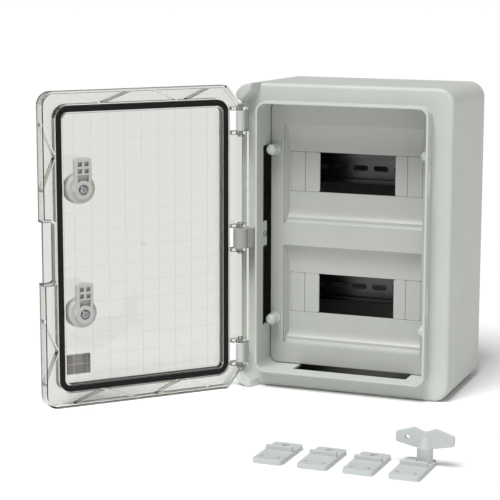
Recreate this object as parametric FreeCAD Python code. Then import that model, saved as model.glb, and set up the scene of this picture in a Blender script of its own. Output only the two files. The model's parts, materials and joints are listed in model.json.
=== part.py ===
import FreeCAD, Part
import math
import os
from FreeCAD import Vector

# Wall-mounted weatherproof enclosure with a hinged clear door, two rows of
# rail-mounted devices behind an inner cover, and its loose wall lugs and key.
#
# Millimetres, +Z up.  The shapes are modelled with y = 0 on the front shoulder
# of the enclosure and y growing towards the wall.  save() moves them so that
# the origin is the centre of the bottom face that the enclosure stands on.

# ---------------------------------------------------------------- enclosure
WIDTH = 250.0
HEIGHT = 350.0
DEPTH = 143.0             # shoulder plane to rear face
WALL = 3.0
CORNER_R = 18.0
TAPER = 2.1               # sides and top draw in by this much at the rear
SHOULDER_T = 3.2
FRAME_BAND = 6.0          # depth of the front frame's outer band
SEAM_EDGE_R = 4.5

COLLAR_X = (-100.0, 101.8)
COLLAR_Z = (19.4, 330.5)
COLLAR_FRONT = -16.4
COLLAR_WALL = 2.6
COLLAR_R = 12.0
SKIRT_END = 30.0
SIDE_NOTCH_Z = (70.5, 278.5)
BOTTOM_NOTCH_X = (-60.0, 75.0)

LOBE_FRONT = -16.0
LOBE_SLOPE = 6.0          # how far the lobe's inner side spreads at the shoulder

# -------------------------------------------------------------------- hinge
AXIS_X = -117.1
AXIS_Y = -16.8
REST_OPEN_DEG = 131.4
KNUCKLE_Z = (308.0, 174.3, 41.0)
KNUCKLE_LEN = 22.6
KNUCKLE_R = 5.2
BLOCK_R = 8.4
BLOCK_LEG_X = (-112.0, -104.0)
BLOCK_LEG_HALF = 6.8      # half the height of the leg and foot
BLOCK_SCREW_Y = 7.0
BLOCK_SCREW_RISE = 2.5    # screw above the middle of the knuckle
BLOCK_SCREW_R = 1.45
PIN_R = 1.8
PIN_RUN = 0.05            # radial running clearance in the knuckles
PIN_HEAD_R = 3.3
PIN_HEAD_T = 2.4
PIN_IN_KNUCKLE = 8.0
EAR_T = 4.0
EAR_GAP = 0.4
EAR_R = 6.0

# --------------------------------------------------------------------- door
DOOR_Z = (1.0, 348.6)
DOOR_FREE = 239.2         # hinge axis to the free edge
DOOR_BACK = 8.0           # strip behind the hinge axis
DOOR_CUT = 18.6           # where the cut corners meet the top and bottom edges
DOOR_CUT_LOW = -1.1
DOOR_CUT_DROP = 24.9
DOOR_FACE = -10.9         # outer face, measured from the hinge axis
DOOR_RIM = 5.1            # inner edge of the rim wall, from the hinge axis
DOOR_SKIN = 3.0
RIM_T = 2.6
DOOR_CORNER_R = 15.0
HINGE_NOTCH = 10.0
GASKET_W = 6.8
CHANNEL_RIB = 1.6
GASKET_FRONT_GAP = 0.3
GRIP_Z = (138.0, 210.0)
GRIP_DEPTH = 16.8
RIB_T = 1.4
GRID_PITCH = 20.0
GRID_LINES = (9, 15)       # across, up
GRID_GROOVE = (0.5, 0.25)   # width, depth

# --------------------------------------------------------------------- lock
LOCK_S = 194.0            # hinge axis to lock axis
LOCK_Z = (242.4, 105.2)
LOCK_BASE_R = 17.4
LOCK_DISC_R = 16.2
LOCK_ARM_LEN = 34.4
LOCK_ARM_W = 19.0
LOCK_ARM = (4.2, 11.2)    # the arm's two faces, from the hinge axis
LOCK_SHAFT_R = 5.6
LOCK_SCREW_R = 4.2

# -------------------------------------------------------------- inner cover
COVER_Y = 26.0
COVER_T = 2.0
COVER_GAP = 0.8           # between the cover's edge and the skirt
ROW_PITCH = 141.0
RECESS_X = (-81.0, 84.6)
RECESS_Z = (187.0, 303.0)      # upper row; the lower one is ROW_PITCH below
RECESS_Y = 35.0
STEP_T = 3.0
CURVE_ABOVE = 24.0        # height of the long curve above the blanking strips
CURVE_BELOW = 9.5         # height of the short curve below them
LEDGE = (4.2, 31.2)       # foot of the ledge under the short curve: rise and y
WINDOW_Z = (224.2, 270.2)
WINDOW_X = (-40.2, 49.8)
BLANK_SPAN = (-75.2, 81.6)
MODULE = 17.5
BLANK_GAP = 0.25
KNOB_X = (-91.5, 91.3)
KNOB_Z = (273.2, 75.5)
KNOB_STEM_R = 2.6
KNOB_FLANGE_R = 7.2
KNOB_GRIP = (8.5, 17.5)   # from the cover's front to the grip's two ends
KNOB_GRIP_R = 6.5
KNOB_FLUTES = 6

# ------------------------------------------------------------ inside the box
RAIL_Y = 100.0            # rear face of the rail's web
RAIL_H = 35.0
RAIL_DEPTH = 7.5
RAIL_T = 1.0
RAIL_CREST = 27.0
RAIL_X = (-112.0, 112.0)
RAIL_SLOT = (18.0, 6.2)
RAIL_SLOT_PITCH = 25.0
RAIL_SLOTS = 8
RAIL_DROP = 1.2           # rail centre below the middle of its window
UPRIGHT_X = (-106.5, 106.5)
UPRIGHT_W = 16.0
UPRIGHT_D = 14.0
UPRIGHT_T = 1.5
UPRIGHT_Z = (52.0, 300.0)
FOOT_Z = (70.0, 282.0)
POST_R = 4.6
SCREW_R = 2.5

# -------------------------------------------------------------- loose pieces
LUG_W = 31.0
LUG_L = 64.0
LUG_T = 4.8
LUG_RIDGE = (34.0, 38.0)  # from the lug's front end
LUG_RIDGE_H = 4.6
LUG_HOLE_SPACING = 18.0
LUG_HOLE_R = 1.75
LUG_X0 = 23.0             # centre of the first lug
LUG_PITCH = 46.6
LUG_FRONT_Y = -292.0
LUG_COUNT = 4
LUG_PILOT_R = 1.5
LUG_PILOT_X = 95.0
LUG_PILOT_Z = (13.0, 335.0)
LUG_PILOT_DEPTH = 8.0
LUG_SEAT = (32.6, 30.0, 0.8)  # width, height and depth of a lug's shallow seat
KEY_STEM_R = 7.9
KEY_STEM_H = 14.5
KEY_GUSSET_H = 13.5
KEY_PLACE = (6.0, 11.5)   # from the last lug's centre line and rear end
KEY_WING_T = 4.0
KEY_WING = ((8.0, 0.0, 0), (29.5, 4.3, 2.5), (29.5, 14.2, 2.5), (11.0, 20.0, 4.0))  # x, z, radius
KEY_WING_DIP = (0.0, 16.0, 6.0)
KEY_RING = (-17.6, 9.6, 2.3)  # x, z, radius of the hole for a key ring

SLIT = 0.3                # clearance between pieces that move apart
PARTS = "parts"
NEAR = 1e-4               # places closer than this are the same
Z_AXIS = Vector(0, 0, 1)


# ------------------------------------------------------------------- helpers
def box(x, y, z):
    """A block between three (low, high) pairs."""
    size = (x[1] - x[0], y[1] - y[0], z[1] - z[0])
    return Part.makeBox(*size, Vector(x[0], y[0], z[0]))


def rod(r, start, end):
    """A cylinder of radius r from one point to another."""
    a, b = Vector(*start), Vector(*end)
    return Part.makeCylinder(r, (b - a).Length, a, b - a)


def cone(r0, r1, start, end):
    a, b = Vector(*start), Vector(*end)
    return Part.makeCone(r0, r1, (b - a).Length, a, b - a)


def rect_wire(x, z, y, r):
    """A rectangle with round corners, facing along Y."""
    x0, x1, z0, z1 = x[0], x[1], z[0], z[1]
    k = r * (1 - math.sqrt(0.5))
    edges = []
    corners = [
        ((x1 - r, z0), (x1 - k, z0 + k), (x1, z0 + r)),
        ((x1, z1 - r), (x1 - k, z1 - k), (x1 - r, z1)),
        ((x0 + r, z1), (x0 + k, z1 - k), (x0, z1 - r)),
        ((x0, z0 + r), (x0 + k, z0 + k), (x0 + r, z0)),
    ]
    last = Vector(x0 + r, y, z0)
    for corner in corners:
        a, m, b = [Vector(px, y, pz) for px, pz in corner]
        edges.append(Part.LineSegment(last, a).toShape())
        edges.append(Part.Arc(a, m, b).toShape())
        last = b
    return Part.Wire(edges)


def slab(x, z, y, r):
    """A plate with round corners; x, z and y are (low, high) pairs."""
    face = Part.Face(rect_wire(x, z, y[0], r))
    return face.extrude(Vector(0, y[1] - y[0], 0))


def loft(x0, z0, y0, r0, x1, z1, y1, r1):
    """A tapering block between two rounded rectangles."""
    return Part.makeLoft([rect_wire(x0, z0, y0, r0), rect_wire(x1, z1, y1, r1)], True, True)


def grow(pair, by):
    return (pair[0] - by, pair[1] + by)


def polygon(points, y0, y1):
    """A prism along Y with straight sides through (x, z) points."""
    wire = Part.makePolygon([Vector(x, y0, z) for x, z in points + points[:1]])
    return Part.Face(wire).extrude(Vector(0, y1 - y0, 0))


def rounded_polygon(points, radii, y0, y1):
    """A prism along Y whose (x, z) corners are rounded by arcs."""
    prism = polygon(points, y0, y1)
    for (x, z), r in zip(points, radii):
        if r:
            near = [e for e in prism.Edges if is_corner(e, x, z)]
            prism = prism.makeFillet(r, near)
    return prism


def is_corner(edge, x, z):
    ends = [v.Point for v in edge.Vertexes]
    return len(ends) == 2 and all(math.hypot(p.x - x, p.z - z) < NEAR for p in ends)


def edges_at(shape, y):
    """Edges that lie in the plane of one y."""
    boxes = [(e, e.BoundBox) for e in shape.Edges]
    return [e for e, b in boxes if abs(b.YMin - y) < NEAR and abs(b.YMax - y) < NEAR]


def edges_at_z(shape, z):
    """Edges that lie in the plane of one z."""
    boxes = [(e, e.BoundBox) for e in shape.Edges]
    return [e for e, b in boxes if abs(b.ZMin - z) < NEAR and abs(b.ZMax - z) < NEAR]


def mirror_z(shape, z):
    return shape.mirror(Vector(0, 0, z), Z_AXIS)


def fuse(shapes):
    first, rest = shapes[0], shapes[1:]
    joined = first.fuse(rest) if rest else first
    return joined.removeSplitter()


def cut(shape, tools):
    return shape.cut(tools).removeSplitter()


def one_piece(shape):
    """The largest solid of a boolean result."""
    return max(shape.Solids, key=lambda s: s.Volume)


def save(name, *solids):
    """Write one node, moved so that the origin is under the enclosure's middle."""
    group = Part.makeCompound([s.copy() for s in solids]) if len(solids) > 1 else solids[0].copy()
    group.translate(Vector(0, -DEPTH / 2, 0))
    group.exportStep(os.path.join(PARTS, name + ".step"))


def open_door(shape):
    """Turn a piece of the closed door to its open rest position."""
    turned = shape.copy()
    turned.rotate(Vector(AXIS_X, AXIS_Y, 0), Z_AXIS, -REST_OPEN_DEG)
    return turned


# ---------------------------------------------------------------- enclosure
def rear_outline(inset):
    """The enclosure's outline on its rear face."""
    half = WIDTH / 2 - TAPER - inset
    return (-half, half), (inset, HEIGHT - TAPER - inset)


def outer_block():
    """The shell's tapering outside, with one flat plane for its underside."""
    below = -2 * CORNER_R
    front_x = (-WIDTH / 2, WIDTH / 2)
    back_x, back_z = rear_outline(0)
    block = loft(front_x, (below, HEIGHT), FRAME_BAND, CORNER_R,
                 back_x, (below, back_z[1]), DEPTH, CORNER_R)
    block = block.cut(box(grow(front_x, 1), (FRAME_BAND - 1, DEPTH + 1), (2 * below, 0)))
    lower = [e for e in block.Edges if e.BoundBox.ZMax < NEAR and e.BoundBox.YLength > DEPTH / 2]
    return block.makeFillet(CORNER_R, lower)


def rear_shell():
    front_x, front_z = (-WIDTH / 2, WIDTH / 2), (0, HEIGHT)
    shell = outer_block()
    shell = shell.makeFillet(2.5, edges_at(shell, DEPTH))
    in_x, in_z = rear_outline(WALL)
    inside = loft(grow(front_x, -WALL), grow(front_z, -WALL), FRAME_BAND, CORNER_R - WALL,
                  in_x, in_z, DEPTH - WALL, CORNER_R - WALL)
    shell = shell.cut(inside)
    floor = DEPTH - WALL - 0.5
    bosses = []
    holes = []
    for x in lug_pilot_x():
        for z in LUG_PILOT_Z:
            bosses.append(rod(4.5, (x, floor - LUG_PILOT_DEPTH, z), (x, DEPTH - 1, z)))
            holes.append(rod(LUG_PILOT_R, (x, DEPTH - LUG_PILOT_DEPTH, z), (x, DEPTH + 1, z)))
    for x in UPRIGHT_X:
        for z in FOOT_Z:
            bosses.append(rod(POST_R, (x, upright_back(), z), (x, DEPTH - 1, z)))
            holes.append(rod(SCREW_R - 0.4, (x, upright_back() - 1, z), (x, upright_back() + 14, z)))
    return one_piece(cut(fuse([shell] + bosses), holes + lug_seats()))


def lug_seats():
    """Shallow seats in the rear corners that locate the wall lugs."""
    wide, high, deep = LUG_SEAT
    seats = []
    for x in (-LUG_PILOT_X, LUG_PILOT_X):
        for z, side in zip(LUG_PILOT_Z, (-1, 1)):
            low = z - 7.0 if side < 0 else z + 7.0 - high
            across = (x - wide / 2, x + wide / 2)
            seats.append(slab(across, (low, low + high), (DEPTH - deep, DEPTH + 1), 4.0))
    return seats


def lug_pilot_x():
    half = LUG_HOLE_SPACING / 2
    return [side * LUG_PILOT_X + offset for side in (-1, 1) for offset in (-half, half)]


def upright_back():
    return RAIL_Y + UPRIGHT_D


def lobe_outline(spread):
    """Corner points of a hinge-side lobe, with its inner side moved in by spread."""
    return [
        (-WIDTH / 2, 340.0), (-WIDTH / 2, HEIGHT), (-104.5 + spread, HEIGHT),
        (-106.0 + spread, 343.0 - spread * 0.4), (-117.3 + spread * 0.6, 330.4 - spread * 0.8),
        (-122.0, 333.0 - spread * 0.5),
    ]


def lobe():
    """The raised corner beside the hinge, with a sloping inner side."""
    wires = []
    for y, spread in ((SHOULDER_T, LOBE_SLOPE), (LOBE_FRONT, 0.0)):
        points = lobe_outline(spread)
        wires.append(Part.makePolygon([Vector(x, y, z) for x, z in points + points[:1]]))
    body = Part.makeLoft(wires, True, True)
    outline = slab((-WIDTH / 2, WIDTH / 2), (0, HEIGHT), (LOBE_FRONT - 1, SHOULDER_T + 1), CORNER_R)
    body = body.common(outline)
    front = edges_at(body, LOBE_FRONT)
    return one_piece(body.makeFillet(2.2, front))


def knuckle(z, radius, x_low, x_high):
    """A hinge barrel on the axis with a leg back to the shoulder."""
    low, high = z - KNUCKLE_LEN / 2, z + KNUCKLE_LEN / 2
    barrel = hinge_rod(radius, low, high)
    leg = box((x_low, x_high), (AXIS_Y, SHOULDER_T), (low, high))
    return barrel.fuse(leg)


def hinge_rod(radius, z0, z1):
    """A cylinder on the hinge axis."""
    return rod(radius, (AXIS_X, AXIS_Y, z0), (AXIS_X, AXIS_Y, z1))


def pin_bores(z, radius):
    low, high = z - KNUCKLE_LEN / 2, z + KNUCKLE_LEN / 2
    deep = PIN_IN_KNUCKLE + 1
    return [hinge_rod(radius, low - 1, low + deep), hinge_rod(radius, high - deep, high + 1)]


def skirt_notches():
    """Openings behind the shoulder, in the skirt's sides and bottom."""
    left = box((COLLAR_X[0] - 5, COLLAR_X[0] + 8), (SHOULDER_T, SKIRT_END + 1), SIDE_NOTCH_Z)
    right = box((COLLAR_X[1] - 8, COLLAR_X[1] + 5), (SHOULDER_T, SKIRT_END + 1), SIDE_NOTCH_Z)
    bottom = box(BOTTOM_NOTCH_X, (SHOULDER_T, SKIRT_END + 1), (COLLAR_Z[0] - 5, COLLAR_Z[0] + 8))
    return [left, right, bottom]


def lock_slots():
    """Slots in the free side of the collar, which the lock arms turn into."""
    wide = (COLLAR_X[1] - COLLAR_WALL - 1, COLLAR_X[1] + 1)
    deep = (AXIS_Y + LOCK_ARM[0] - SLIT, AXIS_Y + LOCK_ARM[1] + SLIT)
    return [box(wide, deep, (z - LOCK_ARM_W / 2 - 1.5, z + 31.0)) for z in LOCK_Z]


def block_tab():
    """The strip of skirt that carries the middle hinge block's screw."""
    z = block_screw_z()
    return box((COLLAR_X[0], COLLAR_X[0] + COLLAR_WALL), (SHOULDER_T - 1, 15.0), (z - 14.0, z + 14.0))


def block_screw_z():
    return KNUCKLE_Z[1] + BLOCK_SCREW_RISE


def block_screw_rod(r, x0, x1):
    """A cylinder along the line of the hinge block's screw."""
    z = block_screw_z()
    return rod(r, (x0, BLOCK_SCREW_Y, z), (x1, BLOCK_SCREW_Y, z))


def front_frame():
    x, z = (-WIDTH / 2, WIDTH / 2), (0, HEIGHT)
    plate = slab(x, z, (0, FRAME_BAND), CORNER_R)
    plate = plate.makeFillet(SEAM_EDGE_R, edges_at(plate, 0))
    pocket = slab(grow(x, -WALL), grow(z, -WALL), (SHOULDER_T, FRAME_BAND + 1), CORNER_R - WALL)
    plate = plate.cut(pocket)
    collar = slab(COLLAR_X, COLLAR_Z, (COLLAR_FRONT, SKIRT_END), COLLAR_R)
    collar = collar.makeFillet(1.0, edges_at(collar, COLLAR_FRONT))
    opening = slab(grow(COLLAR_X, -COLLAR_WALL), grow(COLLAR_Z, -COLLAR_WALL),
                   (COLLAR_FRONT - 1, SKIRT_END + 1), COLLAR_R - COLLAR_WALL)
    top_lobe = lobe()
    frame = fuse([plate, collar, top_lobe, mirror_z(top_lobe, HEIGHT / 2)]
                 + [knuckle(z, KNUCKLE_R, AXIS_X - 3.2, AXIS_X + 3.2) for z in KNUCKLE_Z[::2]])
    tools = [opening] + skirt_notches() + lock_slots()
    for z in KNUCKLE_Z[::2]:
        tools += pin_bores(z, PIN_R + PIN_RUN)
    frame = cut(frame, tools)
    frame = fuse([frame, block_tab()])
    middle = (KNUCKLE_Z[1] - BLOCK_LEG_HALF, KNUCKLE_Z[1] + BLOCK_LEG_HALF)
    leg_hole = box(grow(BLOCK_LEG_X, 0.5), (-1, SHOULDER_T + 1), grow(middle, 0.4))
    screw_hole = block_screw_rod(BLOCK_SCREW_R + 0.15, COLLAR_X[0] - 1, COLLAR_X[0] + 6)
    return one_piece(cut(frame, [leg_hole, screw_hole]))


def middle_hinge_block():
    """The separate middle knuckle: its leg passes through the shoulder."""
    z = KNUCKLE_Z[1]
    low, high = z - KNUCKLE_LEN / 2, z + KNUCKLE_LEN / 2
    barrel = hinge_rod(BLOCK_R, low, high)
    flank = polygon_along_z([(AXIS_X - BLOCK_R, AXIS_Y), (AXIS_X, AXIS_Y - BLOCK_R + 1.5),
                             (AXIS_X + BLOCK_R - 0.6, AXIS_Y + 1.0), (-103.2, -9.0), (-103.2, -0.1),
                             (AXIS_X - 4.6, -0.1)], low, high)
    tall = (z - BLOCK_LEG_HALF, z + BLOCK_LEG_HALF)
    leg = box(BLOCK_LEG_X, (-1, 11.0), tall)
    foot = box((BLOCK_LEG_X[0], COLLAR_X[0] - 0.1), (SHOULDER_T + 0.2, 11.0), tall)
    block = fuse([barrel, flank, leg, foot])
    thread = block_screw_rod(BLOCK_SCREW_R + 0.05, BLOCK_LEG_X[0] + 2, COLLAR_X[0] + 1)
    return one_piece(cut(block, pin_bores(z, PIN_R + PIN_RUN) + [thread]))


def polygon_along_z(points, z0, z1):
    wire = Part.makePolygon([Vector(x, y, z0) for x, y in points + points[:1]])
    return Part.Face(wire).extrude(Vector(0, 0, z1 - z0))


def hinge_block_screw():
    inner = COLLAR_X[0] + COLLAR_WALL
    tip = inner + 2.2
    shank = block_screw_rod(BLOCK_SCREW_R, BLOCK_LEG_X[0] + 4, inner + 0.5)
    head = block_screw_rod(3.4, inner, tip)
    head = head.makeFillet(0.8, [e for e in head.Edges if abs(e.BoundBox.XMin - tip) < NEAR])
    return cross_recess(shank.fuse(head), (tip, BLOCK_SCREW_Y, block_screw_z()), 1.3, 2.0)


def cross_recess(screw, tip, depth, half):
    """A cross slot in a head that faces +X."""
    x, y, z = tip
    thin = 0.45
    slots = [box((x - depth, x + 1), (y - half, y + half), (z - thin, z + thin)),
             box((x - depth, x + 1), (y - thin, y + thin), (z - half, z + half))]
    return one_piece(cut(screw, slots))


# --------------------------------------------------------------------- door
def door_x(s):
    return AXIS_X + s


def door_y(offset):
    return AXIS_Y + offset


def door_outline(inset):
    """Corner points and corner radii of the closed door, drawn in by inset."""
    low, high = DOOR_Z[0] + inset, DOOR_Z[1] - inset
    free, back = door_x(DOOR_FREE) - inset, door_x(-DOOR_BACK) + inset
    slant = inset * 0.5
    cut_x = door_x(DOOR_CUT) + slant
    bend_x = door_x(DOOR_CUT_LOW) + slant
    drop = DOOR_CUT_DROP + slant - inset
    points = [(cut_x, high), (free, high), (free, low), (cut_x, low),
              (bend_x, low + drop), (back, low + drop), (back, high - drop), (bend_x, high - drop)]
    corner = DOOR_CORNER_R - inset
    small = max(3.0 - inset, 0.4)
    return points, [small, corner, corner, small, 0, small, small, 0]


def door_blank(inset, y0, y1):
    points, radii = door_outline(inset)
    return rounded_polygon(points, radii, y0, y1)


def gasket_line():
    """Centre rectangle of the gasket: the collar's own centre line."""
    return grow(COLLAR_X, -COLLAR_WALL / 2), grow(COLLAR_Z, -COLLAR_WALL / 2), COLLAR_R - COLLAR_WALL / 2


def ring(outer, inner, y0, y1):
    """A rounded frame; outer and inner are offsets from the gasket's centre line."""
    x, z, r = gasket_line()
    return slab(grow(x, outer), grow(z, outer), (y0, y1), r + outer).cut(
        slab(grow(x, inner), grow(z, inner), (y0 - 1, y1 + 1), r + inner))


def rib(start, end, y0, y1):
    """A thin wall between two (x, z) points."""
    (xa, za), (xb, zb) = start, end
    length = math.hypot(xb - xa, zb - za)
    nx, nz = -(zb - za) / length * RIB_T / 2, (xb - xa) / length * RIB_T / 2
    return polygon([(xa + nx, za + nz), (xb + nx, zb + nz), (xb - nx, zb - nz), (xa - nx, za - nz)], y0, y1)


def zigzag_ribs():
    """V-shaped stiffening ribs in the door's flange: top, bottom and free side."""
    y0, y1 = door_y(DOOR_FACE + DOOR_SKIN) - 0.5, door_y(DOOR_RIM) - 4.0
    x, z, _ = gasket_line()
    reach = GASKET_W / 2 + CHANNEL_RIB - 0.4
    ribs = []
    for outer, inner in ((DOOR_Z[1] - 1.5, z[1] + reach), (DOOR_Z[0] + 1.5, z[0] - reach)):
        for centre, flat, half in ((168.0, 0.0, 37.0), (72.0, 5.0, 35.0)):
            for side in (-1, 1):
                ribs.append(rib((door_x(centre + side * half), outer),
                                (door_x(centre + side * flat), inner), y0, y1))
    free, channel = door_x(DOOR_FREE) - 1.5, x[1] + reach
    for centre in (278.0, 64.0):
        for side in (-1, 1):
            ribs.append(rib((free, centre + side * 38.0), (channel, centre + side * 1.0), y0, y1))
    return ribs


def door_ears():
    """Six ears that carry the hinge pins, one each side of every knuckle."""
    ears = []
    for z in KNUCKLE_Z:
        for side in (-1, 1):
            near = z + side * (KNUCKLE_LEN / 2 + EAR_GAP)
            low, high = min(near, near + side * EAR_T), max(near, near + side * EAR_T)
            ear = fuse([hinge_rod(EAR_R, low, high),
                        box((door_x(-DOOR_BACK), door_x(HINGE_NOTCH + 1)),
                            (door_y(DOOR_FACE), door_y(0)), (low, high))])
            ears.append(ear)
    return ears


def finger_grip(inset, y, r):
    """The hand recess in the middle of the free edge, drawn in by inset."""
    edge = door_x(DOOR_FREE)
    return slab((edge - GRIP_DEPTH + inset, edge + 2 * GRIP_DEPTH), grow(GRIP_Z, -inset), y, r)


def grip_boss():
    """The solid that the hand recess is cut from."""
    whole = finger_grip(0, (door_y(DOOR_FACE), door_y(DOOR_RIM)), 6.0)
    return whole.common(door_blank(0.4, door_y(DOOR_FACE), door_y(DOOR_RIM) - 2.0))


def shaft_cuts():
    """Holes for the hinge pins and their heads, and for the lock shafts."""
    holes = []
    for z in KNUCKLE_Z:
        for side in (-1, 1):
            outer = ear_z(z, side, EAR_T)
            holes.append(hinge_rod(PIN_R, ear_z(z, side, -0.5), ear_z(z, side, EAR_T + 0.5)))
            holes.append(hinge_rod(PIN_HEAD_R + 0.5, outer, outer + side * (PIN_HEAD_T + 0.8)))
    x, front, back = door_x(LOCK_S), door_y(DOOR_FACE) - 1, door_y(DOOR_FACE + DOOR_SKIN) + 1
    return holes + [rod(LOCK_SHAFT_R + 0.8, (x, front, z), (x, back, z)) for z in LOCK_Z]


def moulding_gate(skin):
    """The small round mark in the middle of the panel where it was moulded."""
    x, z, _ = gasket_line()
    middle_x, middle_z = sum(x) / 2 - 1.0, sum(z) / 2
    disc = rod(3.2, (middle_x, skin - 0.5, middle_z), (middle_x, skin + 0.4, middle_z))
    return disc.cut(rod(2.2, (middle_x, skin + 0.1, middle_z), (middle_x, skin + 1, middle_z)))


def hinge_notches():
    """Gaps in the hinge edge that clear the knuckles."""
    wide = (door_x(-DOOR_BACK) - 1, door_x(HINGE_NOTCH))
    deep = (door_y(DOOR_FACE) - 1, door_y(DOOR_RIM) + 1)
    half = KNUCKLE_LEN / 2 + EAR_GAP
    return [box(wide, deep, (z - half, z + half)) for z in KNUCKLE_Z]


def door_panel():
    face, skin, rim = door_y(DOOR_FACE), door_y(DOOR_FACE + DOOR_SKIN), door_y(DOOR_RIM)
    tray = door_blank(0, face, rim)
    tray = tray.makeFillet(2.2, edges_at(tray, face))
    tray = tray.cut(door_blank(RIM_T, skin, rim + 1))
    seat = COLLAR_FRONT - GASKET_FRONT_GAP
    channel = ring(GASKET_W / 2 + CHANNEL_RIB, GASKET_W / 2, skin - 0.5, seat)
    inner = ring(-GASKET_W / 2, -GASKET_W / 2 - CHANNEL_RIB, skin - 0.5, seat)
    ribs = [r.common(door_blank(1.0, face, rim)) for r in zigzag_ribs()]
    door = fuse([tray, channel, inner, grip_boss()] + ribs)
    door = door.cut([finger_grip(2.2, (face - 1, rim - 4.2), 4.0)] + hinge_notches())
    door = one_piece(cut(fuse([door] + door_ears()), shaft_cuts()))
    return one_piece(fuse([door, moulding_gate(skin)]).cut(grid_grooves(skin)))


def grid_grooves(skin):
    """Fine square grid moulded into the inner face, inside the gasket."""
    x, z, _ = gasket_line()
    inside_x = grow(x, -GASKET_W / 2 - CHANNEL_RIB - 0.4)
    inside_z = grow(z, -GASKET_W / 2 - CHANNEL_RIB - 0.4)
    half, deep = GRID_GROOVE[0] / 2, (skin - GRID_GROOVE[1], skin + 0.2)
    grooves = []
    for i in range(GRID_LINES[0]):
        at = sum(x) / 2 + (i - (GRID_LINES[0] - 1) / 2) * GRID_PITCH
        grooves.append(box((at - half, at + half), deep, inside_z))
    for i in range(GRID_LINES[1]):
        at = sum(z) / 2 + (i - (GRID_LINES[1] - 1) / 2) * GRID_PITCH
        grooves.append(box(inside_x, deep, (at - half, at + half)))
    return grooves


def ear_z(z, side, out):
    """A height on the ear beside a knuckle, measured out from the ear's inner face."""
    return z + side * (KNUCKLE_LEN / 2 + EAR_GAP + out)


def door_gasket():
    seat = COLLAR_FRONT - GASKET_FRONT_GAP
    skin = door_y(DOOR_FACE + DOOR_SKIN)
    band = ring(GASKET_W / 2, -GASKET_W / 2, skin, seat)
    return band.makeFillet(1.2, edges_at(band, seat))


def hinge_pins(z):
    """Two short headed pins, one pushed in from each end of a hinge."""
    pins = []
    for side in (-1, 1):
        tip = z + side * (KNUCKLE_LEN / 2 - PIN_IN_KNUCKLE)
        under, top = ear_z(z, side, EAR_T), ear_z(z, side, EAR_T + PIN_HEAD_T)
        head = hinge_rod(PIN_HEAD_R, under, top)
        head = head.makeFillet(0.7, edges_at_z(head, top))
        pins.append(hinge_rod(PIN_R, tip, under).fuse(head).removeSplitter())
    return pins


def label_plate():
    """A plain blank plate stuck on the outside of the door."""
    face = door_y(DOOR_FACE)
    return slab((door_x(181.0), door_x(210.0)), (34.5, 57.0), (face - 0.4, face), 1.0)


# -------------------------------------------------------------------- locks
def lock_bush(z):
    """The fixed base of a lock, clamped through the clear panel."""
    x, skin, face = door_x(LOCK_S), door_y(DOOR_FACE + DOOR_SKIN), door_y(DOOR_FACE)
    base = cone(LOCK_BASE_R, LOCK_BASE_R - 0.6, (x, skin, z), (x, skin + 2.6, z))
    neck = rod(LOCK_SHAFT_R + 0.75, (x, face - 0.5, z), (x, skin + 1, z))
    cap = rod(12.0, (x, face - 2.6, z), (x, face, z))
    cap = cap.makeFillet(1.2, edges_at(cap, face - 2.6))
    bore = rod(LOCK_SHAFT_R - 1.0, (x, face - 4, z), (x, skin + 4, z))
    return one_piece(cut(fuse([base, neck, cap]), [bore]))


def lock_spindle(z):
    """The turning core, with a key socket on the outside."""
    x, face = door_x(LOCK_S), door_y(DOOR_FACE)
    core_r = LOCK_SHAFT_R - 1.0 - PIN_RUN
    core = rod(core_r, (x, face - 2.4, z), (x, door_y(LOCK_ARM[0]) - 2.0, z))
    socket = box((x - 1.2, x + 1.2), (face - 3, face + 3.0), (z - 3.6, z + 3.6))
    thread = rod(1.6, (x, door_y(LOCK_ARM[0]) - 10.0, z), (x, door_y(LOCK_ARM[0]), z))
    return one_piece(cut(core, [socket, thread]))


def lock_cam(z):
    """Disc and arm in one moulding; the arm points up when the lock is open."""
    x = door_x(LOCK_S)
    back, front = door_y(LOCK_ARM[0]), door_y(LOCK_ARM[1])
    disc_back = door_y(DOOR_FACE + DOOR_SKIN) + 2.6 + SLIT
    disc = rod(LOCK_DISC_R, (x, disc_back, z), (x, back, z))
    disc = disc.makeFillet(1.5, edges_at(disc, back))
    arm = slab((x - LOCK_ARM_W / 2, x + LOCK_ARM_W / 2), (z, z + LOCK_ARM_LEN), (back, front), 3.0)
    hub = rod(LOCK_ARM_W / 2 + 1.2, (x, back - 0.5, z), (x, front, z))
    arm = fuse([arm, box((x - LOCK_ARM_W / 2, x + LOCK_ARM_W / 2), (back, front), (z, z + 8)), hub])
    arm = arm.makeFillet(0.9, edges_at(arm, front))
    pockets = []
    for px in (-3.8, 3.8):
        for pz in (LOCK_ARM_LEN - 6.6, LOCK_ARM_LEN - 14.2):
            pockets.append(slab((x + px - 2.5, x + px + 2.5), (z + pz - 2.5, z + pz + 2.5),
                                (front - 4.0, front + 1), 0.5))
    pockets.append(slab((x - 6.3, x + 6.3), (z + 7.0, z + 16.2), (front - 4.0, front + 1), 0.8))
    wall = rod(LOCK_ARM_W / 2 + 0.4, (x, front - 5.0, z), (x, front, z))
    cup = rod(LOCK_SCREW_R + 1.6, (x, front - 2.6, z), (x, front + 1, z))
    shank = rod(2.1, (x, disc_back - 1, z), (x, front, z))
    bore = rod(LOCK_SHAFT_R - 1.0, (x, disc_back - 1, z), (x, back - 2.0, z))
    cam = fuse([cut(fuse([disc, arm]), pockets), wall])
    return one_piece(cut(cam, [cup, shank, bore]))


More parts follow.
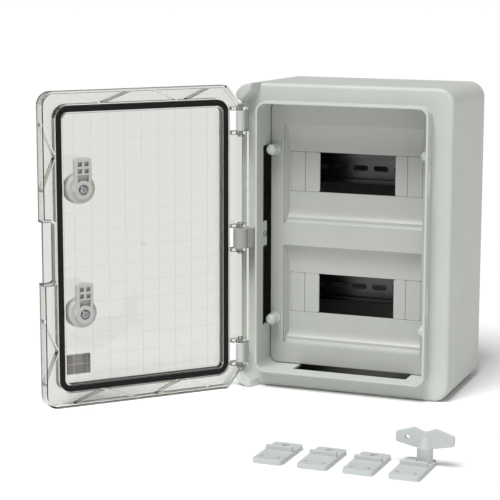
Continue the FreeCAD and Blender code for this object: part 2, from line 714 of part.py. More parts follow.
def lock_screw(z):
    x, seat = door_x(LOCK_S), door_y(LOCK_ARM[1]) - 2.6
    head = rod(LOCK_SCREW_R, (x, seat, z), (x, seat + 2.8, z))
    head = head.makeFillet(1.3, edges_at(head, seat + 2.8))
    shank = rod(1.55, (x, door_y(LOCK_ARM[0]) - 9.0, z), (x, seat + 0.5, z))
    arms = [box((x - 2.4, x + 2.4), (seat + 1.2, seat + 4), (z - 0.6, z + 0.6)),
            box((x - 0.6, x + 0.6), (seat + 1.2, seat + 4), (z - 2.4, z + 2.4))]
    return one_piece(cut(head.fuse(shank), arms))


# -------------------------------------------------------------- inner cover
def tangent_arc(y_end, z_end, y_face, z_face):
    """An arc in the YZ plane that meets the plane y_face tangentially."""
    dy, dz = y_face - y_end, z_end - z_face
    r = (dy * dy + dz * dz) / (2 * dy)
    half = math.asin(abs(dz) / r) / 2
    mid_z = z_face + math.copysign(r * math.sin(half), dz)
    middle = Vector(0, y_face - r * (1 - math.cos(half)), mid_z)
    return Part.Arc(Vector(0, y_end, z_end), middle, Vector(0, y_face, z_face)).toShape()


def row_profile(z):
    """Outline of one row's hollow in the YZ plane: a long curve above, a short one and a ledge below."""
    step, high, low = COVER_Y + STEP_T, z[1] - 0.8, z[0] + 0.8
    ledge_z, ledge_y = z[0] + LEDGE[0], LEDGE[1]
    above = tangent_arc(step, high, RECESS_Y, high - CURVE_ABOVE)
    curve_foot = ledge_z + 3.0
    below = tangent_arc(ledge_y, curve_foot, RECESS_Y, curve_foot + CURVE_BELOW)
    corners = [(ledge_y, curve_foot), (ledge_y, ledge_z), (step + 0.4, low),
               (step - 1, low), (step - 1, high), (step, high)]
    path = Part.makePolygon([Vector(0, y, pz) for y, pz in corners])
    wall = Part.LineSegment(Vector(0, RECESS_Y, high - CURVE_ABOVE),
                            Vector(0, RECESS_Y, curve_foot + CURVE_BELOW)).toShape()
    return Part.Wire(Part.__sortEdges__([above, wall, below] + path.Edges))


def row_sides():
    """Outline of a row's hollow in the XY plane: a sloping left wall and a steep right one."""
    front, back = COVER_Y + STEP_T - 1, RECESS_Y
    points = [(RECESS_X[0] + 0.8, front), (RECESS_X[0] + 4.2, back),
              (RECESS_X[1] - 1.8, back), (RECESS_X[1] - 0.8, front)]
    return Part.makePolygon([Vector(x, y, 0) for x, y in points + points[:1]])


def row_block(z, thick):
    """The row's hollow, or with thick the moulding that wraps it."""
    profile, sides = row_profile(z), row_sides()
    if thick:
        profile, sides = profile.makeOffset2D(thick, 2), sides.makeOffset2D(thick, 2)
    low, high = RECESS_X[0] - 5, RECESS_X[1] + 5
    across = Part.Face(profile).translated(Vector(low, 0, 0)).extrude(Vector(high - low, 0, 0))
    tall = Part.Face(sides).translated(Vector(0, 0, z[0] - 5)).extrude(Vector(0, 0, z[1] - z[0] + 10))
    return across.common(tall)


def recess(drop):
    """Front hollow and rear skin of one device row."""
    z = (RECESS_Z[0] - drop, RECESS_Z[1] - drop)
    step = slab(RECESS_X, z, (COVER_Y - 1, COVER_Y + STEP_T), 1.5)
    rim = slab(grow(RECESS_X, COVER_T), grow(z, COVER_T), (COVER_Y, COVER_Y + STEP_T + COVER_T), 3.0)
    behind = box(grow(RECESS_X, 10), (COVER_Y + 0.5, RECESS_Y + 2 * COVER_T), grow(z, 10))
    return [step, row_block(z, 0)], [row_block(z, COVER_T).common(behind), rim]


def inner_cover():
    edge = COLLAR_WALL + COVER_GAP
    plate = slab(grow(COLLAR_X, -edge), grow(COLLAR_Z, -edge), (COVER_Y, COVER_Y + COVER_T), COLLAR_R - edge)
    plate = plate.makeFillet(0.8, edges_at(plate, COVER_Y))
    solids, hollows = [plate], []
    for drop in (0.0, ROW_PITCH):
        fronts, skins = recess(drop)
        solids += skins
        hollows += fronts
        hollows.append(box(BLANK_SPAN, (RECESS_Y - 1, RECESS_Y + COVER_T + 1),
                           (WINDOW_Z[0] - drop, WINDOW_Z[1] - drop)))
    for x in KNOB_X:
        for z in KNOB_Z:
            hollows.append(rod(KNOB_STEM_R + 0.4, (x, COVER_Y - 1, z), (x, COVER_Y + 4, z)))
    return one_piece(cut(fuse(solids), hollows))


def blanking_strip(side, drop):
    """A flush filler beside the open window, moulded as two round-cornered modules."""
    z = (WINDOW_Z[0] - drop + BLANK_GAP, WINDOW_Z[1] - drop - BLANK_GAP)
    if side < 0:
        x = (BLANK_SPAN[0] + BLANK_GAP, WINDOW_X[0])
        score = BLANK_SPAN[0] + MODULE
    else:
        x = (WINDOW_X[1], BLANK_SPAN[1] - BLANK_GAP)
        score = BLANK_SPAN[1] - MODULE
    front, step, back = RECESS_Y - 0.1, RECESS_Y + 0.8, RECESS_Y + COVER_T
    pieces = [slab(x, z, (step, back), 2.2),
              slab((x[0], score - 0.4), z, (front, step), 2.2),
              slab((score + 0.4, x[1]), z, (front, step), 2.2)]
    for edge in ((z[0] - 1.6, z[0] + 2.0), (z[1] - 2.0, z[1] + 1.6)):
        pieces.append(box((x[0] + 2, x[1] - 2), (back, back + 1.6), edge))
    return one_piece(fuse(pieces))


def cover_knob(x, z):
    """A captive quarter-turn knob: round flange, waist, fluted grip and stem."""
    front = COVER_Y
    flange = rod(KNOB_FLANGE_R, (x, front - 2.4, z), (x, front - SLIT, z))
    flange = flange.makeFillet(0.8, edges_at(flange, front - 2.4))
    waist = cone(5.2, 4.2, (x, front - 2.2, z), (x, front - KNOB_GRIP[0], z))
    stem = rod(KNOB_STEM_R, (x, front - 1, z), (x, COVER_Y + COVER_T + 9.0, z))
    return one_piece(fuse([flange, waist, knob_grip(x, z), stem]))


def knob_grip(x, z):
    """The fluted grip with its rounded nose."""
    near, far = COVER_Y - KNOB_GRIP[0] + 0.5, COVER_Y - KNOB_GRIP[1]
    swell, chin = near - 3.0, far + 2.5
    grip = fuse([cone(KNOB_GRIP_R - 1.8, KNOB_GRIP_R, (x, near, z), (x, swell, z)),
                 cone(KNOB_GRIP_R, KNOB_GRIP_R - 1.0, (x, swell, z), (x, chin, z)),
                 cone(KNOB_GRIP_R - 1.0, 3.0, (x, chin, z), (x, far, z))])
    flutes = []
    reach = KNOB_GRIP_R + 0.9
    for i in range(KNOB_FLUTES):
        a = 2 * math.pi * (i + 0.5) / KNOB_FLUTES
        cx, cz = x + reach * math.cos(a), z + reach * math.sin(a)
        flutes.append(rod(1.9, (cx, near + 1, cz), (cx, far - 1, cz)))
    return one_piece(cut(grip, flutes))


def cover_posts():
    """Four pillars that the cover knobs lock into, standing on the shell's floor."""
    posts = []
    top = COVER_Y + COVER_T
    for x in KNOB_X:
        for z in KNOB_Z:
            post = rod(POST_R, (x, top, z), (x, DEPTH - WALL, z))
            bore = rod(KNOB_STEM_R + PIN_RUN, (x, top - 1, z), (x, top + 12.0, z))
            posts.append(one_piece(cut(post, [bore])))
    return posts


# ------------------------------------------------------------ inside the box
def rail_profile(z):
    """Outline of the top-hat rail in the YZ plane, open side forward."""
    half, crest, t = RAIL_H / 2, RAIL_CREST / 2, RAIL_T
    front = RAIL_Y - RAIL_DEPTH
    upper = [(front, half), (front, crest - t), (RAIL_Y - t, crest - t)]
    outer = [(RAIL_Y, crest), (front + t, crest), (front + t, half)]
    points = upper + [(y, -p) for y, p in reversed(upper)]
    points += [(y, -p) for y, p in reversed(outer)] + outer
    return [Vector(RAIL_X[0], y, z + p) for y, p in points]


def din_rail(z):
    points = rail_profile(z)
    rail = Part.Face(Part.makePolygon(points + points[:1])).extrude(Vector(RAIL_X[1] - RAIL_X[0], 0, 0))
    slots = []
    for i in range(RAIL_SLOTS):
        x = (i - (RAIL_SLOTS - 1) / 2) * RAIL_SLOT_PITCH
        slots.append(slab((x - RAIL_SLOT[0] / 2, x + RAIL_SLOT[0] / 2),
                          (z - RAIL_SLOT[1] / 2, z + RAIL_SLOT[1] / 2),
                          (RAIL_Y - 3, RAIL_Y + 1), RAIL_SLOT[1] / 2 - 0.01))
    for x in UPRIGHT_X:
        slots.append(rod(SCREW_R + 0.1, (x, RAIL_Y - 3, z), (x, RAIL_Y + 1, z)))
    return one_piece(cut(rail, slots))


def rail_z():
    middle = (WINDOW_Z[0] + WINDOW_Z[1]) / 2 - RAIL_DROP
    return [middle, middle - ROW_PITCH]


def rail_upright(x):
    """A folded steel channel that carries the ends of both rails."""
    half = UPRIGHT_W / 2
    back = upright_back()
    channel = box((x - half, x + half), (RAIL_Y, back), UPRIGHT_Z)
    hollow = box((x - half + UPRIGHT_T, x + half - UPRIGHT_T), (RAIL_Y + UPRIGHT_T, back + 1),
                 grow(UPRIGHT_Z, 1))
    feet = []
    holes = []
    for z in FOOT_Z:
        inside = (x - half + UPRIGHT_T, x + half - UPRIGHT_T)
        feet.append(box(inside, (back - UPRIGHT_T, back), (z - 9, z + 9)))
        holes.append(rod(SCREW_R + 0.1, (x, back - 3, z), (x, back + 1, z)))
        holes.append(rod(5.5, (x, RAIL_Y - 1, z), (x, RAIL_Y + 3, z)))
    for z in rail_z():
        holes.append(rod(SCREW_R - 0.4, (x, RAIL_Y - 1, z), (x, RAIL_Y + 3, z)))
    upright = fuse([cut(channel, [hollow])] + feet)
    return one_piece(cut(upright, holes))


def pan_screw(x, y, z, length, shank_r):
    """A pan-head screw driven along +Y, its head in front of the plane y."""
    head = rod(SCREW_R * 1.8, (x, y - 3.0, z), (x, y, z))
    head = head.makeFillet(1.0, edges_at(head, y - 3.0))
    shank = rod(shank_r, (x, y - 0.5, z), (x, y + length, z))
    slots = [box((x - 2.2, x + 2.2), (y - 4, y - 1.6), (z - 0.5, z + 0.5)),
             box((x - 0.5, x + 0.5), (y - 4, y - 1.6), (z - 2.2, z + 2.2))]
    return one_piece(cut(head.fuse(shank), slots))


def rail_screws():
    return [pan_screw(x, RAIL_Y - RAIL_T, z, 7.0, SCREW_R - 0.45) for x in UPRIGHT_X for z in rail_z()]


def upright_screws():
    y = upright_back() - UPRIGHT_T
    return [pan_screw(x, y, z, 12.0, SCREW_R - 0.45) for x in UPRIGHT_X for z in FOOT_Z]


# -------------------------------------------------------------- loose pieces
def wall_lug(index):
    """A wall-fixing lug lying on its back, holes towards the front."""
    x = LUG_X0 + index * LUG_PITCH
    half = LUG_W / 2
    y0, y1 = LUG_FRONT_Y, LUG_FRONT_Y + LUG_L
    plate = box((x - half, x + half), (y0, y1), (0, LUG_T))
    upright = [e for e in plate.Edges if e.BoundBox.ZLength > 1]
    plate = plate.makeFillet(4.0, upright)
    ridge = box((x - half + 1.5, x + half - 1.5), (y0 + LUG_RIDGE[0], y0 + LUG_RIDGE[1]),
                (LUG_T - 0.5, LUG_T + LUG_RIDGE_H))
    lug = fuse([plate, ridge])
    top = [e for e in lug.Edges if e.BoundBox.ZMin > LUG_T - 1e-3 and e.BoundBox.ZLength < 1e-3]
    lug = lug.makeFillet(0.7, [e for e in top if e.BoundBox.ZMin > LUG_T + 1 or e.BoundBox.YMax > y1 - 5
                               or e.BoundBox.YMin < y0 + 5])
    holes = [rod(LUG_HOLE_R, (x + side * LUG_HOLE_SPACING / 2, y0 + 11.0, -1),
                 (x + side * LUG_HOLE_SPACING / 2, y0 + 11.0, LUG_T + 1)) for side in (-1, 1)]
    slot_y = y1 - 10.0
    slot = [box((x - 3.3, x + 3.3), (slot_y - 3, slot_y + 3), (-1, LUG_T + 1)),
            rod(3.3, (x, slot_y - 3, -1), (x, slot_y - 3, LUG_T + 1)),
            rod(3.3, (x, slot_y + 3, -1), (x, slot_y + 3, LUG_T + 1))]
    return one_piece(cut(lug, holes + slot))


def key_wing(x, y, low):
    """The key's flat two-lobed grip, its right half mirrored to the left."""
    left = tuple((-px, pz, r) for px, pz, r in reversed(KEY_WING))
    outline = KEY_WING + (KEY_WING_DIP,) + left
    points = [(x + px, low + pz) for px, pz, _ in outline]
    faces = (y - KEY_WING_T / 2, y + KEY_WING_T / 2)
    wing = rounded_polygon(points, [r for _, _, r in outline], *faces)
    return wing.makeFillet(0.8, edges_at(wing, faces[0]) + edges_at(wing, faces[1]))


def door_key():
    """Two-lobed key standing on the rear of the last lug."""
    x = LUG_X0 + (LUG_COUNT - 1) * LUG_PITCH + KEY_PLACE[0]
    y = LUG_FRONT_Y + LUG_L - KEY_PLACE[1]
    z = LUG_T + 0.1
    top = z + KEY_STEM_H
    stem = rod(KEY_STEM_R, (x, y, z), (x, y, top))
    gusset = cone(KEY_STEM_R - 1.2, 1.4, (x, y, top), (x, y, top + KEY_GUSSET_H))
    socket = rod(4.6, (x, y, z - 1), (x, y, z + 9.0))
    blade = box((x - 1.0, x + 1.0), (y - 5, y + 5), (z, z + 9.5))
    ring_x, ring_z, ring_r = KEY_RING
    low = top - 0.5
    ring_hole = rod(ring_r, (x + ring_x, y - 5, low + ring_z), (x + ring_x, y + 5, low + ring_z))
    body = cut(fuse([stem, gusset, key_wing(x, y, low)]), [socket, ring_hole])
    return one_piece(fuse([body, blade]))


# --------------------------------------------------------------------- build
def main():
    os.makedirs(PARTS, exist_ok=True)
    save("rear_shell", rear_shell())
    save("front_frame", front_frame())
    save("middle_hinge_block", middle_hinge_block())
    save("hinge_block_screw", hinge_block_screw())
    save("inner_cover", inner_cover())
    save("cover_posts", *cover_posts())
    for row, drop in (("upper", 0.0), ("lower", ROW_PITCH)):
        for name, side in (("left", -1), ("right", 1)):
            save(row + "_blanking_strip_" + name, blanking_strip(side, drop))
    for row, z in zip(("upper", "lower"), KNOB_Z):
        for name, x in zip(("left", "right"), KNOB_X):
            save("cover_knob_" + row + "_" + name, cover_knob(x, z))
    for row, z in zip(("upper", "lower"), rail_z()):
        save(row + "_din_rail", din_rail(z))
    for name, x in zip(("left", "right"), UPRIGHT_X):
        save("rail_upright_" + name, rail_upright(x))
    save("rail_screws", *rail_screws())
    save("upright_screws", *upright_screws())

    save("door_panel", open_door(door_panel()))
    save("door_gasket", open_door(door_gasket()))
    save("label_plate", open_door(label_plate()))
    for place, z in zip(("upper", "middle", "lower"), KNUCKLE_Z):
        save(place + "_hinge_pins", *[open_door(pin) for pin in hinge_pins(z)])
    for row, z in zip(("upper", "lower"), LOCK_Z):
        save(row + "_lock_bush", open_door(lock_bush(z)))
        save(row + "_lock_spindle", open_door(lock_spindle(z)))
        save(row + "_lock_cam", open_door(lock_cam(z)))
        save(row + "_lock_screw", open_door(lock_screw(z)))

    for index in range(LUG_COUNT):
        save("wall_lug_" + str(index + 1), wall_lug(index))
    save("door_key", door_key())


main()
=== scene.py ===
import json
import math

import bpy
from mathutils import Matrix, Vector


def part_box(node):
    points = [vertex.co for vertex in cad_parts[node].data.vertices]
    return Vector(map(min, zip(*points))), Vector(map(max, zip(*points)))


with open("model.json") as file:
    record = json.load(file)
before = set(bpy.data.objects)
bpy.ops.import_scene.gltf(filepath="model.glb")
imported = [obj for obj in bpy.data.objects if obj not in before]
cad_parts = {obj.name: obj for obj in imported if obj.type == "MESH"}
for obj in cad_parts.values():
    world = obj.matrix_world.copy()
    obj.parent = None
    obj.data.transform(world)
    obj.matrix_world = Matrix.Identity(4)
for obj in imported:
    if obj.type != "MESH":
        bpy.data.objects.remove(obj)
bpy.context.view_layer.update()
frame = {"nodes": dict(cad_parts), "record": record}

NODES = frame["nodes"]
MM = 0.001


# ---------------------------------------------------------------- node helpers
class Tree:
    """A small builder around one material's node tree."""

    def __init__(self, name):
        self.material = bpy.data.materials.new(name)
        self.material.use_nodes = True
        self.nodes = self.material.node_tree.nodes
        self.links = self.material.node_tree.links
        self.shader = self.nodes["Principled BSDF"]
        self.output = self.nodes["Material Output"]
        self.place = self.add("ShaderNodeTexCoord").outputs["Object"]

    def add(self, kind, **settings):
        node = self.nodes.new(kind)
        for key, value in settings.items():
            setattr(node, key, value)
        return node

    def link(self, start, end):
        self.links.new(start, end)

    def noise(self, scale, detail=3.0, rough=0.5, stretch=None):
        """Noise over the object's own metres; stretch squeezes it along each axis."""
        place = self.place
        if stretch:
            mapping = self.add("ShaderNodeMapping")
            mapping.inputs["Scale"].default_value = stretch
            self.link(place, mapping.inputs["Vector"])
            place = mapping.outputs["Vector"]
        node = self.add("ShaderNodeTexNoise")
        node.inputs["Scale"].default_value = scale
        node.inputs["Detail"].default_value = detail
        node.inputs["Roughness"].default_value = rough
        self.link(place, node.inputs["Vector"])
        return node.outputs["Fac"]

    def ramp(self, factor, low, high, start=0.35, end=0.65):
        """Colours from low to high as factor goes from start to end."""
        node = self.add("ShaderNodeValToRGB")
        node.color_ramp.elements[0].position = start
        node.color_ramp.elements[1].position = end
        node.color_ramp.elements[0].color = (*low, 1.0)
        node.color_ramp.elements[1].color = (*high, 1.0)
        self.link(factor, node.inputs["Fac"])
        return node.outputs["Color"]

    def span(self, factor, low, high, start=0.3, end=0.7):
        """A number from low to high as factor goes from start to end."""
        node = self.add("ShaderNodeMapRange")
        node.inputs["From Min"].default_value = start
        node.inputs["From Max"].default_value = end
        node.inputs["To Min"].default_value = low
        node.inputs["To Max"].default_value = high
        self.link(factor, node.inputs["Value"])
        return node.outputs["Result"]

    def mix(self, factor, first, second):
        """A colour between first and second; each is a tuple or a socket."""
        node = self.add("ShaderNodeMix", data_type="RGBA")
        if isinstance(factor, float):
            node.inputs["Factor"].default_value = factor
        else:
            self.link(factor, node.inputs["Factor"])
        for value, socket in ((first, node.inputs[6]), (second, node.inputs[7])):
            if isinstance(value, tuple):
                socket.default_value = (*value, 1.0)
            else:
                self.link(value, socket)
        return node.outputs[2]

    def math(self, operation, first, second):
        """One operation on two numbers, each a float or a socket."""
        node = self.add("ShaderNodeMath", operation=operation)
        for value, socket in ((first, node.inputs[0]), (second, node.inputs[1])):
            if isinstance(value, float):
                socket.default_value = value
            else:
                self.link(value, socket)
        return node.outputs[0]

    def near(self, value, place, reach):
        """1 where value is within reach of place, else 0."""
        away = self.math("ABSOLUTE", self.math("SUBTRACT", value, place), 0.0)
        return self.math("LESS_THAN", away, reach)

    def facing_in(self, low, high):
        """1 on faces that look inward, between the corners low and high, else 0: the mask for painted
        shade.
        """
        parts = self.add("ShaderNodeSeparateXYZ")
        self.link(self.place, parts.inputs["Vector"])
        away = self.add("ShaderNodeVectorMath", operation="SUBTRACT")
        self.link(self.place, away.inputs[0])
        away.inputs[1].default_value = [(a + b) / 2 for a, b in zip(low, high)]
        facing = self.add("ShaderNodeVectorMath", operation="DOT_PRODUCT")
        self.link(self.add("ShaderNodeTexCoord").outputs["Normal"], facing.inputs[0])
        self.link(away.outputs["Vector"], facing.inputs[1])
        inside = self.math("LESS_THAN", facing.outputs["Value"], 0.0)
        for axis, start, end in zip("XYZ", low, high):
            value = parts.outputs[axis]
            held = self.math("MULTIPLY", self.math("GREATER_THAN", value, start),
                             self.math("LESS_THAN", value, end))
            inside = self.math("MULTIPLY", inside, held)
        return inside

    def bump(self, height, distance, strength=1.0, below=None):
        """Relief distance deep, laid over the normal below."""
        node = self.add("ShaderNodeBump")
        node.inputs["Strength"].default_value = strength
        node.inputs["Distance"].default_value = distance
        self.link(height, node.inputs["Height"])
        if below is not None:
            self.link(below, node.inputs["Normal"])
        return node.outputs["Normal"]

    def soft_edge(self, radius):
        """Rounds the shading of sharp edges, as a moulded or pressed edge is."""
        node = self.add("ShaderNodeBevel", samples=6)
        node.inputs["Radius"].default_value = radius
        return node.outputs["Normal"]


def shade(colour, by):
    """The colour, lighter or darker by a factor."""
    return tuple(min(1.0, c * by) for c in colour)


# ------------------------------------------------------------------- materials
ABS_GREY = (0.570, 0.592, 0.556)
COVER_GREY = (0.485, 0.500, 0.470)
HINGE_GREY = (0.36, 0.37, 0.34)
LOCK_GREY = (0.53, 0.535, 0.50)
KNOB_GREY = (0.60, 0.625, 0.59)
LUG_GREY = (0.545, 0.575, 0.575)
# the rail's near-black base colour is painted shade for the dim inside of the shell; the plated steel
# is lighter
RAIL_PAINTED_SHADE_GREY = (0.10, 0.10, 0.10)
ZINC_GREY = (0.42, 0.43, 0.45)

MOTTLE_SCALE, SPECK_SCALE = 14.0, 1400.0    # noise cells in a metre
GRAIN_SCALE, WAVE_SCALE = 2600.0, 38.0
WAVE_DEPTH = 0.25 * MM
FLECK_SHARE = 0.35                          # of the speckle in the plastic's tone
BLOOM_SHARE = 0.4                           # of the spangle in the metal's tone

PC_TINT = (0.71, 0.72, 0.685)               # of what is seen through the clear door
PC_SHADOW = (0.90, 0.91, 0.90)              # of the light that it lets through
PC_IOR = 1.49
RUBBER_LOW, RUBBER_HIGH = (0.004, 0.004, 0.004), (0.014, 0.013, 0.013)

LABEL_RULE = 0.7 * MM                       # half the width of a ruled line
LABEL_COLUMNS = (0.03, 0.33, 0.88)          # parts of the label's width
LABEL_ROWS = (0.50, 0.97)                   # parts of its height
LABEL_FILM = (0.50, 0.46, 0.42), (0.59, 0.55, 0.51)
LABEL_LINE = (0.84, 0.82, 0.79)

INSIDE_PAINTED_SHADE = 0.30                         # painted shade on faces behind the inner cover, as a share of the plastic's colour
COVER_BACK = -0.040                         # y just behind the inner cover, where the painted shade begins


def shell_hollow():
    """The space behind the inner cover, as two corners, where painted shade goes on the body's
    plastic.
    """
    low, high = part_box("rear_shell")
    return (low.x, COVER_BACK, low.z), tuple(high)


def moulded_plastic(name, colour, rough, grain=0.05, edge=0.5, contrast=0.035, inside=None):
    """Fine spark-textured moulding with faint flow mottling.

    Faces that look inward within the inside corners get painted shade, darkened as a dim hollow looks,
    not because the plastic there is darker.
    """
    t = Tree(name)
    mottle = t.noise(MOTTLE_SCALE, 4.0, 0.6)
    speck = t.noise(SPECK_SCALE, 2.0, 0.7)
    tone = t.ramp(mottle, shade(colour, 1 - contrast), shade(colour, 1 + contrast))
    fleck = t.ramp(speck, shade(colour, 0.93), shade(colour, 1.05), 0.3, 0.7)
    skin_and_painted_shade = t.mix(FLECK_SHARE, tone, fleck)
    if inside is not None:
        # painted shade: inward faces in the hollow behind the inner cover are darkened as a dim hollow
        # looks
        skin_and_painted_shade = t.mix(t.facing_in(*inside), skin_and_painted_shade, shade(colour, INSIDE_PAINTED_SHADE))
    t.link(skin_and_painted_shade, t.shader.inputs["Base Color"])
    t.link(t.span(speck, rough - 0.05, rough + 0.07), t.shader.inputs["Roughness"])
    fine = t.noise(GRAIN_SCALE, 2.0, 0.55)
    wave = t.noise(WAVE_SCALE, 2.0, 0.5)
    normal = t.bump(wave, WAVE_DEPTH, 0.12, t.soft_edge(edge * MM))
    t.link(t.bump(fine, grain * MM, 0.6, normal), t.shader.inputs["Normal"])
    t.shader.inputs["Specular IOR Level"].default_value = 0.45
    return t.material


def clear_polycarbonate():
    """Faintly smoked clear moulding that lets lamplight through to what is behind it."""
    t = Tree("clear_polycarbonate")
    t.shader.inputs["Base Color"].default_value = (*PC_TINT, 1)
    t.shader.inputs["Transmission Weight"].default_value = 1.0
    t.shader.inputs["IOR"].default_value = PC_IOR
    smear = t.noise(9.0, 3.0, 0.6)
    t.link(t.span(smear, 0.015, 0.05), t.shader.inputs["Roughness"])
    flow = t.noise(22.0, 2.0, 0.5, (1.0, 1.0, 0.35))
    t.link(t.bump(flow, 0.12 * MM, 0.25), t.shader.inputs["Normal"])
    clear = t.add("ShaderNodeBsdfTransparent")
    clear.inputs["Color"].default_value = (*PC_SHADOW, 1)
    path = t.add("ShaderNodeLightPath")
    mixed = t.add("ShaderNodeMixShader")
    t.link(path.outputs["Is Shadow Ray"], mixed.inputs["Fac"])
    t.link(t.shader.outputs["BSDF"], mixed.inputs[1])
    t.link(clear.outputs["BSDF"], mixed.inputs[2])
    t.link(mixed.outputs["Shader"], t.output.inputs["Surface"])
    return t.material


def gasket_rubber():
    """Matt black rubber with open pores."""
    t = Tree("gasket_rubber")
    pores = t.noise(900.0, 4.0, 0.6)
    t.link(t.ramp(pores, RUBBER_LOW, RUBBER_HIGH), t.shader.inputs["Base Color"])
    t.link(t.span(pores, 0.5, 0.7), t.shader.inputs["Roughness"])
    t.shader.inputs["Specular IOR Level"].default_value = 0.2
    t.link(t.bump(pores, 0.08 * MM, 0.7, t.soft_edge(0.4 * MM)), t.shader.inputs["Normal"])
    return t.material


def plated_steel(name, colour, rough, streak):
    """Metal with rolling streaks, squeezed along each axis by streak, and a faint spangle."""
    t = Tree(name)
    lines = t.noise(220.0, 3.0, 0.6, streak)
    spangle = t.noise(260.0, 2.0, 0.5)
    tone = t.ramp(lines, shade(colour, 0.82), shade(colour, 1.1), 0.3, 0.7)
    bloom = t.ramp(spangle, shade(colour, 0.88), shade(colour, 1.08))
    t.link(t.mix(BLOOM_SHARE, tone, bloom), t.shader.inputs["Base Color"])
    t.shader.inputs["Metallic"].default_value = 1.0
    t.link(t.span(lines, rough - 0.06, rough + 0.1), t.shader.inputs["Roughness"])
    t.link(t.bump(lines, 0.02 * MM, 0.5, t.soft_edge(0.25 * MM)), t.shader.inputs["Normal"])
    return t.material


def printed_plate():
    """A blank rating plate: brown-grey satin film with a plain ruled frame and no text."""
    t = Tree("label")
    low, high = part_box("label_plate")
    size = high - low
    parts = t.add("ShaderNodeSeparateXYZ")
    t.link(t.place, parts.inputs["Vector"])
    along = t.span(parts.outputs["X"], 0.0, 1.0, low.x, high.x)
    up = t.span(parts.outputs["Z"], 0.0, 1.0, low.z, high.z)
    rules = [t.near(along, at, LABEL_RULE / math.hypot(size.x, size.y)) for at in LABEL_COLUMNS]
    rules += [t.near(up, at, LABEL_RULE / size.z) for at in LABEL_ROWS]
    lines = rules[0]
    for rule in rules[1:]:
        lines = t.math("MAXIMUM", lines, rule)
    grain = t.noise(1500.0, 2.0, 0.6)
    film = t.ramp(t.noise(60.0, 3.0, 0.6), *LABEL_FILM)
    t.link(t.mix(lines, film, LABEL_LINE), t.shader.inputs["Base Color"])
    t.link(t.span(grain, 0.35, 0.5), t.shader.inputs["Roughness"])
    return t.material


MATERIALS = {
    # the body's plastic carries painted shade on the inward faces behind the inner cover
    "body_grey": moulded_plastic("body_grey", ABS_GREY, 0.46, inside=shell_hollow()),
    "cover_grey": moulded_plastic("cover_grey", COVER_GREY, 0.34, grain=0.02),
    "hinge_grey": moulded_plastic("hinge_grey", HINGE_GREY, 0.4, grain=0.03),
    "lock_grey": moulded_plastic("lock_grey", LOCK_GREY, 0.4, grain=0.03, edge=0.35),
    "knob_plastic": moulded_plastic("knob_plastic", KNOB_GREY, 0.34, grain=0.02, edge=0.4),
    "lug_plastic": moulded_plastic("lug_plastic", LUG_GREY, 0.44, grain=0.03),
    "clear_polycarbonate": clear_polycarbonate(),
    "gasket_rubber": gasket_rubber(),
    # the rail's base colour is darkened as painted shade for the dim inside of the shell
    "rail_steel": plated_steel("rail_steel", RAIL_PAINTED_SHADE_GREY, 0.30, (0.04, 1.0, 1.0)),
    "zinc": plated_steel("zinc", ZINC_GREY, 0.24, (1.0, 1.0, 1.0)),
    "label": printed_plate(),
}


def dress_nodes():
    """Give every CAD node the material of its slot."""
    for part in frame["record"]["subparts"]:
        node = NODES[part["node"]]
        node.data.materials.clear()
        node.data.materials.append(MATERIALS[part["material_slot"]])


# ---------------------------------------------------------------------- stage
FLOOR_HALF = 40.0
FLOOR_LOW, FLOOR_HIGH = (0.95, 0.95, 0.95), (0.965, 0.965, 0.965)
WORLD_STRENGTH = 0.31
KEY_STRENGTH = 2.8
KEY_SPREAD = 28.0                           # degrees that the lamp's disc takes up
KEY_HEIGHT, KEY_LEFT = 62.0, 6.0            # degrees above the floor, and round to the left
CAMERA_PLACE = Vector((0.6200, -1.8893, 0.4974))
CAMERA_YAW, CAMERA_PITCH, CAMERA_ROLL = 21.94, 9.83, 0.09
CAMERA_LENS, SENSOR = 124.69, 36.0


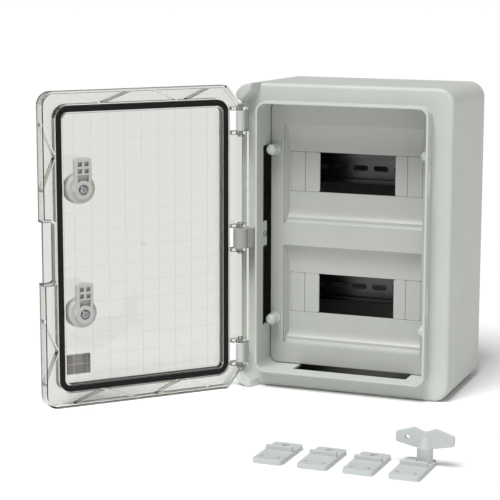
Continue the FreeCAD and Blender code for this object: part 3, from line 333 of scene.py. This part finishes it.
def floor():
    """A wide pale floor, matt and faintly uneven in tone."""
    mesh = bpy.data.meshes.new("floor")
    h = FLOOR_HALF
    mesh.from_pydata([(-h, -h, 0), (h, -h, 0), (h, h, 0), (-h, h, 0)], [], [(0, 1, 2, 3)])
    ground = bpy.data.objects.new("floor", mesh)
    bpy.context.scene.collection.objects.link(ground)
    t = Tree("floor")
    dust = t.noise(30.0, 3.0, 0.5)
    t.link(t.ramp(dust, FLOOR_LOW, FLOOR_HIGH), t.shader.inputs["Base Color"])
    t.shader.inputs["Roughness"].default_value = 0.9
    mesh.materials.append(t.material)


def studio_world():
    """Even white light from all round."""
    world = bpy.data.worlds.new("studio")
    world.use_nodes = True
    background = world.node_tree.nodes["Background"]
    background.inputs["Color"].default_value = (1.0, 1.0, 1.0, 1)
    background.inputs["Strength"].default_value = WORLD_STRENGTH
    bpy.context.scene.world = world


def key_light():
    """One broad soft lamp, high in front and a little to the left."""
    lamp = bpy.data.lights.new("key", "SUN")
    lamp.energy = KEY_STRENGTH
    lamp.angle = math.radians(KEY_SPREAD)
    holder = bpy.data.objects.new("key", lamp)
    bpy.context.scene.collection.objects.link(holder)
    high, round_left = math.radians(KEY_HEIGHT), math.radians(KEY_LEFT)
    towards = Vector((math.sin(round_left) * math.cos(high),
                      math.cos(round_left) * math.cos(high), -math.sin(high)))
    holder.rotation_euler = towards.to_track_quat("-Z", "Y").to_euler()


def camera():
    """A long lens a little above the enclosure and to its right."""
    yaw, pitch = math.radians(CAMERA_YAW), math.radians(CAMERA_PITCH)
    back = Vector((math.sin(yaw) * math.cos(pitch), -math.cos(yaw) * math.cos(pitch), math.sin(pitch)))
    right = Vector((math.cos(yaw), math.sin(yaw), 0))
    up = back.cross(right)
    turn = Matrix((right, up, back)).transposed() @ Matrix.Rotation(math.radians(CAMERA_ROLL), 3, "Z")
    lens = bpy.data.cameras.new("camera")
    lens.lens, lens.sensor_width = CAMERA_LENS, SENSOR
    holder = bpy.data.objects.new("camera", lens)
    bpy.context.scene.collection.objects.link(holder)
    holder.matrix_world = Matrix.Translation(CAMERA_PLACE) @ turn.to_4x4()
    bpy.context.scene.camera = holder


def stage():
    """Floor, light and camera."""
    floor()
    studio_world()
    key_light()
    camera()
    bpy.context.scene.view_settings.view_transform = "Standard"


dress_nodes()
stage()
